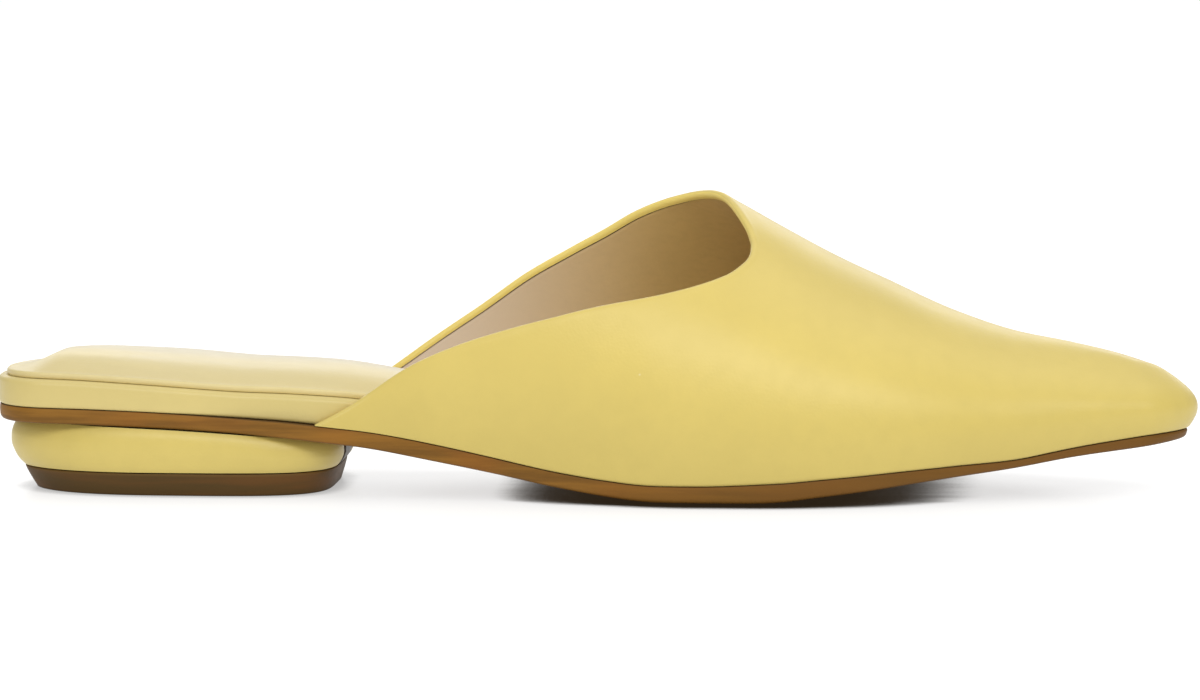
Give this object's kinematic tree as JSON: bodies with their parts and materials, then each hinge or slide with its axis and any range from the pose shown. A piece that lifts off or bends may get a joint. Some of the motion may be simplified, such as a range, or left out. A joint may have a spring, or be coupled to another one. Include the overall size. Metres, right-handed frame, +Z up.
{
  "type": "pointed mule shoe",
  "caption": "Backless pointed-toe mule in smooth leather with a high slanted vamp, a padded insole and a low wrapped oval heel.",
  "frame": {"origin": "on the floor plane, under the middle of the shoe's length and width", "axes": "+X from the heel towards the toe, +Y towards the inner side of the foot, +Z up"},
  "size_m": [0.2679, 0.079, 0.066],
  "materials": {
    "upper": "smooth satin leather",
    "footbed": "smooth satin leather",
    "sock": "soft padded leather",
    "outsole": "stained and polished leather edge",
    "heel_block": "smooth satin leather over a light core",
    "heel_breast": "dark satin leather",
    "heel_lift": "satin"
  },
  "bodies": {
    "root": {"outsole": "outsole", "footbed": "footbed", "sock": "sock", "heel_block": "heel_block", "heel_breast": "heel_breast", "heel_lift": "heel_lift", "upper": "upper"}
  },
  "joints": []
}
